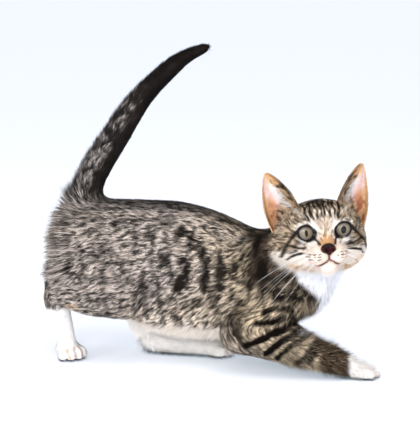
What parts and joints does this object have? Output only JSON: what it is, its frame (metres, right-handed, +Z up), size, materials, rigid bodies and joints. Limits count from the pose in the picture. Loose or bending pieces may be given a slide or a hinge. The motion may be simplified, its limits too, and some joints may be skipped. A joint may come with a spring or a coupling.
{
  "type": "kitten",
  "caption": "Life-size still model of a young tabby and white shorthair cat, crouched in mid-step with its tail up and its head turned.",
  "frame": {"origin": "on the floor, under the middle of the whole cat's box", "axes": "+X towards the chest and forepaws, +Y towards the cat's left side, +Z up"},
  "size_m": [0.2642, 0.1043, 0.2502],
  "materials": {
    "tabby_coat": "short soft fur, grey-brown mackerel tabby with dark stripes",
    "white_coat": "short soft fur, white",
    "ear": "thin skin, pink inside and furred outside",
    "nose_leather": "moist bare skin, dark red-brown",
    "eye": "clear and wet, grey-green iris"
  },
  "bodies": {
    "root": {"ear_left": "ear", "ear_right": "ear", "eye_left": "eye", "eye_right": "eye", "foreleg_left": "tabby_coat", "foreleg_right": "tabby_coat", "forepaw_left": "white_coat", "forepaw_right": "white_coat", "head": "tabby_coat", "hindfoot_left": "white_coat", "hindfoot_right": "white_coat", "hindleg_left": "tabby_coat", "hindleg_right": "tabby_coat", "neck": "tabby_coat", "nose": "nose_leather", "tail_base": "tabby_coat", "tail_tip": "tabby_coat", "torso": "tabby_coat"}
  },
  "joints": []
}
